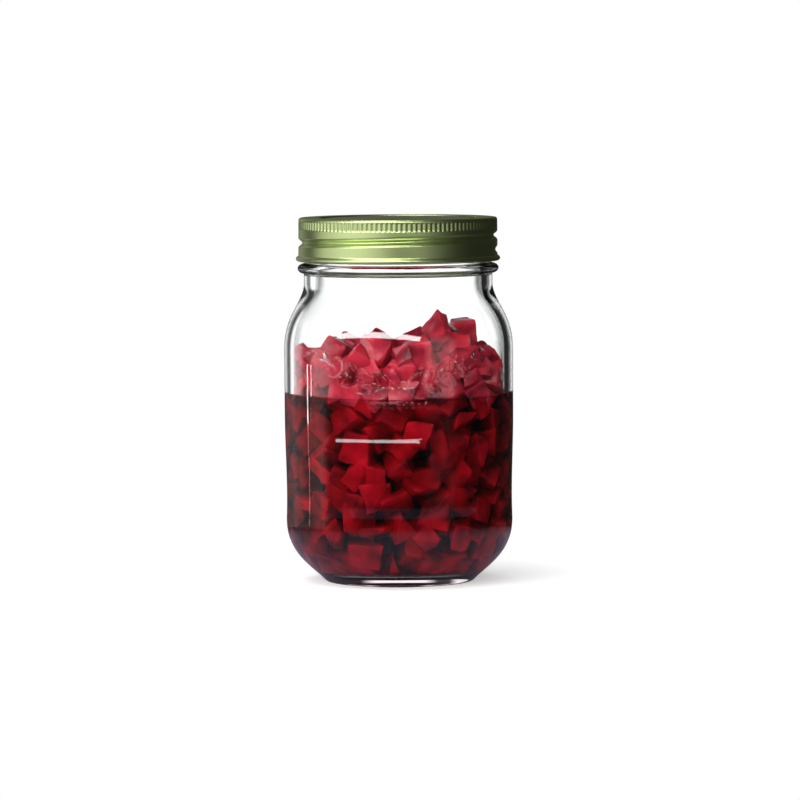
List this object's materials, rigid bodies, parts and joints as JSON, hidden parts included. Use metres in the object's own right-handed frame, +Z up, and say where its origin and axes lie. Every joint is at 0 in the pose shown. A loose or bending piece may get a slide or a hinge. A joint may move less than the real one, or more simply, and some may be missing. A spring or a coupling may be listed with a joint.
{
  "type": "canning jar",
  "caption": "Half-litre glass canning jar with a flat sealing lid, a gasket and a threaded screw band, filled with diced beetroot in brine.",
  "frame": {"origin": "centre of the base ring, on the surface that the jar stands on", "axes": "+Z up along the jar's axis of revolution, -Y towards the front with its label panel, +X to the right seen from the front"},
  "size_m": [0.0826, 0.0836, 0.1315],
  "materials": {
    "clear_glass": "clear pressed glass, glossy",
    "band_metal": "thin sheet with a glossy greenish gold lacquer",
    "lid_metal": "thin sheet with a glossy pale gold lacquer",
    "gasket": "matt sealing compound",
    "brine": "clear dark red liquid",
    "beetroot": "wet cut beetroot"
  },
  "bodies": {
    "jar": {"glass_jar": "clear_glass", "brine": "brine", "beetroot_layer_1": "beetroot", "beetroot_layer_2": "beetroot", "beetroot_layer_3": "beetroot", "beetroot_layer_4": "beetroot", "beetroot_layer_5": "beetroot", "beetroot_layer_6": "beetroot", "beetroot_01": "beetroot", "beetroot_02": "beetroot", "beetroot_03": "beetroot", "beetroot_04": "beetroot", "beetroot_05": "beetroot", "beetroot_06": "beetroot", "beetroot_07": "beetroot", "beetroot_08": "beetroot", "beetroot_09": "beetroot", "beetroot_10": "beetroot", "beetroot_11": "beetroot", "beetroot_12": "beetroot", "beetroot_13": "beetroot", "beetroot_14": "beetroot", "beetroot_15": "beetroot", "beetroot_16": "beetroot", "beetroot_17": "beetroot", "beetroot_18": "beetroot", "beetroot_19": "beetroot", "beetroot_20": "beetroot", "beetroot_21": "beetroot", "beetroot_22": "beetroot", "beetroot_23": "beetroot", "beetroot_24": "beetroot", "beetroot_25": "beetroot", "beetroot_26": "beetroot", "beetroot_27": "beetroot", "beetroot_28": "beetroot", "beetroot_29": "beetroot", "beetroot_30": "beetroot", "beetroot_31": "beetroot", "beetroot_32": "beetroot", "beetroot_33": "beetroot", "beetroot_34": "beetroot", "beetroot_35": "beetroot", "beetroot_36": "beetroot", "beetroot_37": "beetroot", "beetroot_38": "beetroot", "beetroot_39": "beetroot", "beetroot_40": "beetroot", "beetroot_41": "beetroot", "beetroot_42": "beetroot", "beetroot_43": "beetroot", "beetroot_44": "beetroot", "beetroot_45": "beetroot", "beetroot_46": "beetroot"},
    "lid": {"sealing_lid": "lid_metal", "gasket_ring": "gasket"},
    "band": {"screw_band": "band_metal"}
  },
  "joints": [
    {"name": "lid_rise", "type": "slide", "parent": "jar", "child": "lid", "axis": [0, 0, 1], "range_m": [0, 0.021]},
    {"name": "band_turn", "type": "hinge", "parent": "lid", "child": "band", "pos_m": [0, 0, 0.1235], "axis": [0, 0, 1], "range_deg": [0, 1440]}
  ],
  "couplings": [
    {"joint": "lid_rise", "follows": "band_turn", "m_per_rad": 0.00080851}
  ]
}
